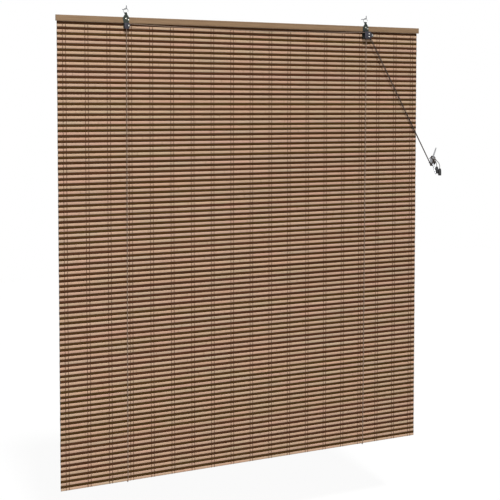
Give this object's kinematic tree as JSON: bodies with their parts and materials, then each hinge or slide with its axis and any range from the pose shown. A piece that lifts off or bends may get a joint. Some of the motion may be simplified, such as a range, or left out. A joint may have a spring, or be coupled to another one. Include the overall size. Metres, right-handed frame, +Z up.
{
  "type": "bamboo roll up blind",
  "caption": "Woven bamboo roll-up window blind: light and dark slats in turn under a flat head rail, hung on wall hooks, with cord pulleys, a cord lock, tassels and a wall cleat.",
  "frame": {"origin": "on the wall face, midway between the axes of the two hook shanks", "axes": "+X to the right along the blind, +Y into the wall, +Z up"},
  "size_m": [1.6107, 0.051, 1.6431],
  "materials": {
    "stained_batten": "satin stain",
    "bamboo_slats": "satin stain, light and dark slats in turn",
    "warp_thread": "spun thread",
    "staple_wire": "zinc plated",
    "hook_wire": "zinc plated",
    "dark_steel": "blackened, semi-gloss",
    "bright_rivet": "nickel plated",
    "sheave_steel": "bare steel",
    "lift_cord": "braided cord",
    "pull_cord": "braided cord",
    "cleat_metal": "satin nickel",
    "tassel_black": "gloss"
  },
  "bodies": {
    "blind": {"head_rail": "stained_batten", "slat_mat": "bamboo_slats", "warp_threads": "warp_thread", "mat_staples": "staple_wire", "cord_staples": "staple_wire", "left_hook": "hook_wire", "right_hook": "hook_wire", "left_ring": "hook_wire", "right_ring": "hook_wire", "left_hanger": "dark_steel", "right_hanger": "dark_steel", "left_hanger_screws": "bright_rivet", "right_hanger_screws": "bright_rivet", "left_cheek": "dark_steel", "right_cheek": "dark_steel", "left_axle": "bright_rivet", "right_axle": "bright_rivet", "guide_pin": "bright_rivet", "cam_pivot": "bright_rivet", "left_lift_cord": "lift_cord", "right_lift_cord": "lift_cord", "front_pull_cord": "pull_cord", "rear_pull_cord": "pull_cord", "cleat": "cleat_metal", "cleat_screws": "bright_rivet", "cord_hank": "pull_cord", "front_tail": "pull_cord", "rear_tail": "pull_cord", "front_tassel": "tassel_black", "rear_tassel": "tassel_black", "tassel_knots": "pull_cord"},
    "left_sheave_body": {"left_sheave": "sheave_steel"},
    "rear_sheave_body": {"rear_sheave": "sheave_steel"},
    "front_sheave_body": {"front_sheave": "sheave_steel"},
    "guide_roller_body": {"guide_roller": "sheave_steel"},
    "lock_cam_body": {"lock_cam": "sheave_steel"}
  },
  "joints": [
    {"name": "left_sheave_spin", "type": "hinge", "parent": "blind", "child": "left_sheave_body", "pos_m": [-0.4909, -0.019, -0.056], "axis": [0, 1, 0], "continuous": true},
    {"name": "rear_sheave_spin", "type": "hinge", "parent": "blind", "child": "rear_sheave_body", "pos_m": [0.5031, -0.019, -0.056], "axis": [0, 1, 0], "continuous": true},
    {"name": "front_sheave_spin", "type": "hinge", "parent": "blind", "child": "front_sheave_body", "pos_m": [0.5031, -0.0253, -0.056], "axis": [0, 1, 0], "continuous": true},
    {"name": "guide_roller_spin", "type": "hinge", "parent": "blind", "child": "guide_roller_body", "pos_m": [0.5041, -0.0222, -0.06635], "axis": [0, 1, 0], "continuous": true},
    {"name": "lock_cam_pivot", "type": "hinge", "parent": "blind", "child": "lock_cam_body", "pos_m": [0.51841, -0.0222, -0.0606], "axis": [0, -1, 0], "range_deg": [0, 45]}
  ],
  "couplings": [
    {"joint": "rear_sheave_spin", "follows": "left_sheave_spin", "ratio": 1},
    {"joint": "front_sheave_spin", "follows": "left_sheave_spin", "ratio": 1},
    {"joint": "guide_roller_spin", "follows": "left_sheave_spin", "ratio": 1.196}
  ]
}
